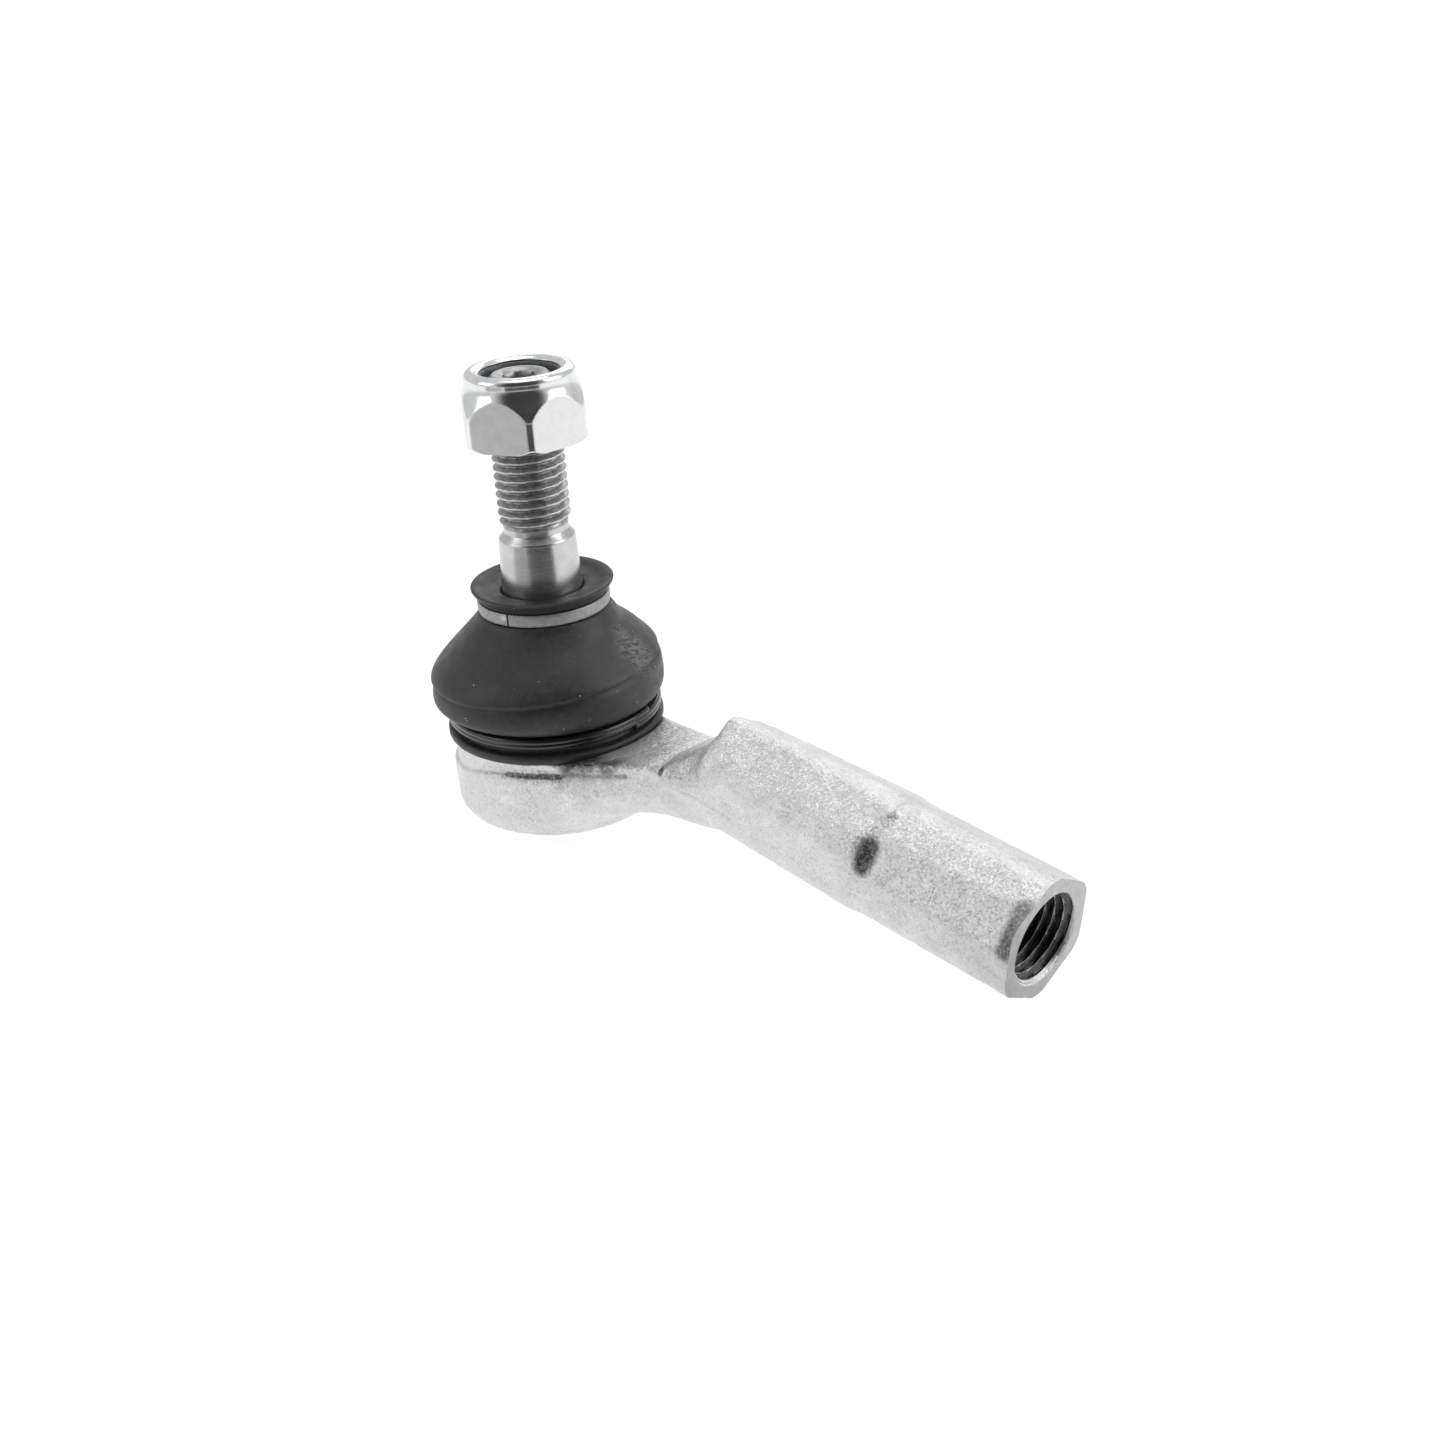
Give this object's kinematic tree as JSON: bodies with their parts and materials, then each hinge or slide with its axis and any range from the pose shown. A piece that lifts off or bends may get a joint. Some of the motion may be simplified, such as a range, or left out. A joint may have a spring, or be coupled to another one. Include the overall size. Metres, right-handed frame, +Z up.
{
  "type": "tie rod end",
  "caption": "Steering tie rod end: forged steel barrel with an internal thread and a sealed ball joint whose tapered, threaded stud carries a self-locking nut.",
  "frame": {"origin": "centre of the ball", "axes": "+Z up the stud and the head axis at rest, +X from the head towards the threaded mouth of the barrel, the XZ plane is the symmetry plane of the housing"},
  "size_m": [0.122, 0.0394, 0.0761],
  "materials": {
    "zinc_plated_forging": "bright zinc over a grit-blasted forging",
    "seat_plastic": "natural acetal, greased",
    "zinc_plated_sheet": "zinc-plated pressed sheet",
    "ground_steel": "ground and polished",
    "stud_steel": "turned taper, rolled thread",
    "boot_rubber": "satin moulded rubber",
    "clip_steel": "grey phosphated spring steel",
    "black_wire": "gloss black spring wire",
    "bright_zinc": "bright zinc",
    "nylon": "dark nylon"
  },
  "bodies": {
    "housing": {"housing": "zinc_plated_forging", "ball_seat": "seat_plastic", "cover_plate": "zinc_plated_sheet", "dust_boot": "boot_rubber", "boot_ring": "black_wire"},
    "ball": {"ball": "ground_steel"},
    "boot_collar": {"boot_clip": "clip_steel"},
    "stud": {"stud": "stud_steel"},
    "nut_carrier": {"nut_insert": "nylon"},
    "nut": {"lock_nut": "bright_zinc"}
  },
  "joints": [
    {"name": "swivel_x", "type": "hinge", "parent": "housing", "child": "ball", "pos_m": [0, 0, 0], "axis": [1, 0, 0], "range_deg": [-18, 18], "deforming": ["dust_boot"]},
    {"name": "swivel_y", "type": "hinge", "parent": "ball", "child": "boot_collar", "pos_m": [0, 0, 0], "axis": [0, 1, 0], "range_deg": [-18, 18], "deforming": ["dust_boot"]},
    {"name": "stud_spin", "type": "hinge", "parent": "boot_collar", "child": "stud", "pos_m": [0, 0, 0], "axis": [0, 0, 1], "continuous": true},
    {"name": "nut_travel", "type": "slide", "parent": "stud", "child": "nut_carrier", "axis": [0, 0, 1], "range_m": [-0.0134, 0.0089]},
    {"name": "nut_spin", "type": "hinge", "parent": "nut_carrier", "child": "nut", "pos_m": [0, 0, 0.0574], "axis": [0, 0, 1], "range_deg": [-3240, 2160]}
  ],
  "couplings": [
    {"joint": "nut_spin", "follows": "nut_travel", "rad_per_m": 4188.8}
  ]
}
